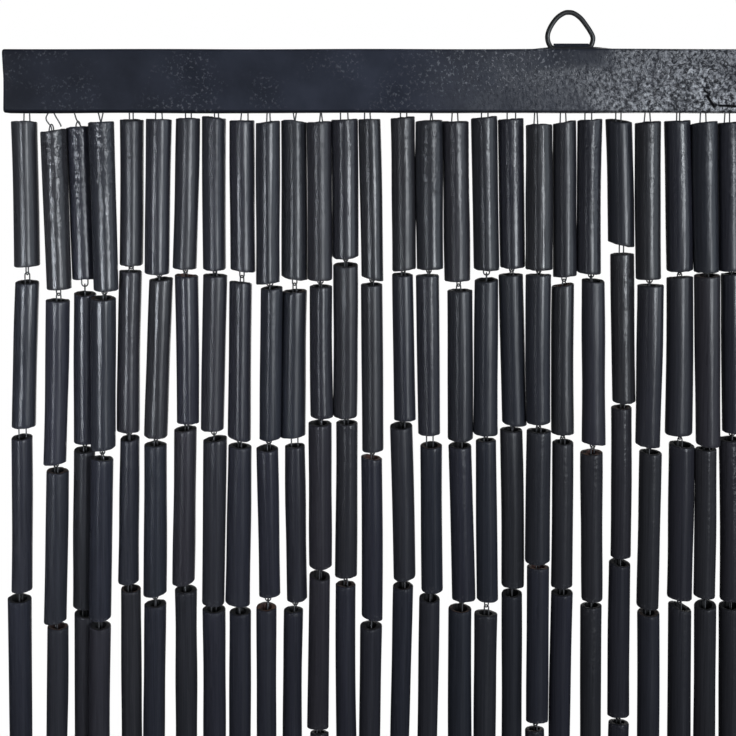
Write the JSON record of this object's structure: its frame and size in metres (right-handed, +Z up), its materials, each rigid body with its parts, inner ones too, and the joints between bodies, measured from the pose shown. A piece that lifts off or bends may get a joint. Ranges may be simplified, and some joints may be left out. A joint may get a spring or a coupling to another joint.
{
  "type": "bamboo fly screen curtain",
  "caption": "Door curtain of short dark-painted bamboo tubes strung on wire from a flat wooden head rail with wire hanging rings.",
  "frame": {"origin": "midway between the two hanging rings, in their plane, at the height where hooks bear inside their tops", "axes": "+Z up, +X to the right seen from the front, and the front faces -Y"},
  "size_m": [0.9024, 0.0183, 2.0019],
  "materials": {
    "rail_paint": "dark blue-grey paint on wood, matt with a rough glossy speckle",
    "tube_paint": "near-black satin paint on bamboo",
    "ring_steel": "dark wire",
    "strap_steel": "painted over with the rail"
  },
  "bodies": {
    "root": {"head_rail": "rail_paint", "strand_panel_1": "tube_paint", "strand_panel_2": "tube_paint", "strand_panel_3": "tube_paint", "strand_panel_4": "tube_paint", "hanger_ring_left": "ring_steel", "hanger_ring_right": "ring_steel", "hanger_strap_left": "strap_steel", "hanger_strap_right": "strap_steel"}
  },
  "joints": []
}
